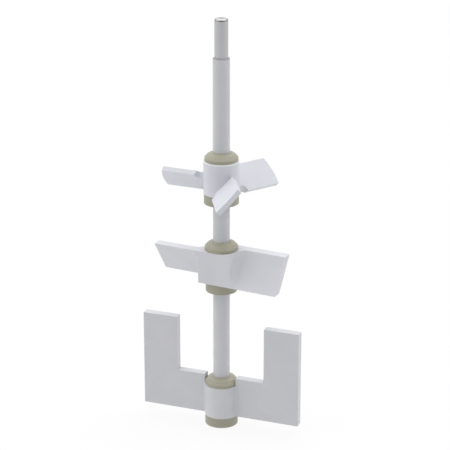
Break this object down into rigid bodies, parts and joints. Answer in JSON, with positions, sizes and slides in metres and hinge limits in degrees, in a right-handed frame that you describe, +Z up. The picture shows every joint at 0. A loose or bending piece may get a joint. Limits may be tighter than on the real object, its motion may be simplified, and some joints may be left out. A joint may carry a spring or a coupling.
{
  "type": "ptfe stirrer shaft",
  "caption": "PTFE-jacketed steel stirrer shaft with clamped propeller, paddle and anchor impellers for an overhead laboratory stirrer.",
  "frame": {"origin": "on the shaft's axis at the jacket's upper shoulder, where the bare steel drive end starts", "axes": "+Z up along the shaft towards the drive end, +X along the flat anchor's width, +Y square to the anchor"},
  "size_m": [0.1, 0.0698, 0.2525],
  "materials": {
    "steel": "satin ground",
    "ptfe": "smooth waxy white",
    "beige_plastic": "smooth matte beige grey"
  },
  "bodies": {
    "shaft": {"steel_core": "steel", "ptfe_jacket": "ptfe"},
    "anchor_sleeve": {"anchor_clamp_sleeve": "beige_plastic"},
    "anchor_impeller": {"anchor": "ptfe"},
    "anchor_nut": {"anchor_clamp_nut": "beige_plastic"},
    "paddle_sleeve": {"paddle_clamp_sleeve": "beige_plastic"},
    "paddle_impeller": {"paddle": "ptfe"},
    "paddle_nut": {"paddle_clamp_nut": "beige_plastic"},
    "propeller_sleeve": {"propeller_clamp_sleeve": "beige_plastic"},
    "propeller_impeller": {"propeller": "ptfe"},
    "propeller_nut": {"propeller_clamp_nut": "beige_plastic"}
  },
  "joints": [
    {"name": "anchor_height", "type": "slide", "parent": "shaft", "child": "anchor_sleeve", "axis": [0, 0, 1], "range_m": [0, 0.012]},
    {"name": "anchor_turn", "type": "hinge", "parent": "anchor_sleeve", "child": "anchor_impeller", "pos_m": [0, 0, 0], "axis": [0, 0, 1], "continuous": true},
    {"name": "anchor_nut_turn", "type": "hinge", "parent": "anchor_sleeve", "child": "anchor_nut", "pos_m": [0, 0, 0], "axis": [0, 0, 1], "range_deg": [0, 360]},
    {"name": "paddle_height", "type": "slide", "parent": "shaft", "child": "paddle_sleeve", "axis": [0, 0, 1], "range_m": [-0.012, 0.011]},
    {"name": "paddle_turn", "type": "hinge", "parent": "paddle_sleeve", "child": "paddle_impeller", "pos_m": [0, 0, 0], "axis": [0, 0, 1], "continuous": true},
    {"name": "paddle_nut_turn", "type": "hinge", "parent": "paddle_sleeve", "child": "paddle_nut", "pos_m": [0, 0, 0], "axis": [0, 0, 1], "range_deg": [0, 360]},
    {"name": "propeller_height", "type": "slide", "parent": "shaft", "child": "propeller_sleeve", "axis": [0, 0, 1], "range_m": [-0.011, 0.05]},
    {"name": "propeller_turn", "type": "hinge", "parent": "propeller_sleeve", "child": "propeller_impeller", "pos_m": [0, 0, 0], "axis": [0, 0, 1], "continuous": true},
    {"name": "propeller_nut_turn", "type": "hinge", "parent": "propeller_sleeve", "child": "propeller_nut", "pos_m": [0, 0, 0], "axis": [0, 0, 1], "range_deg": [0, 360]}
  ]
}
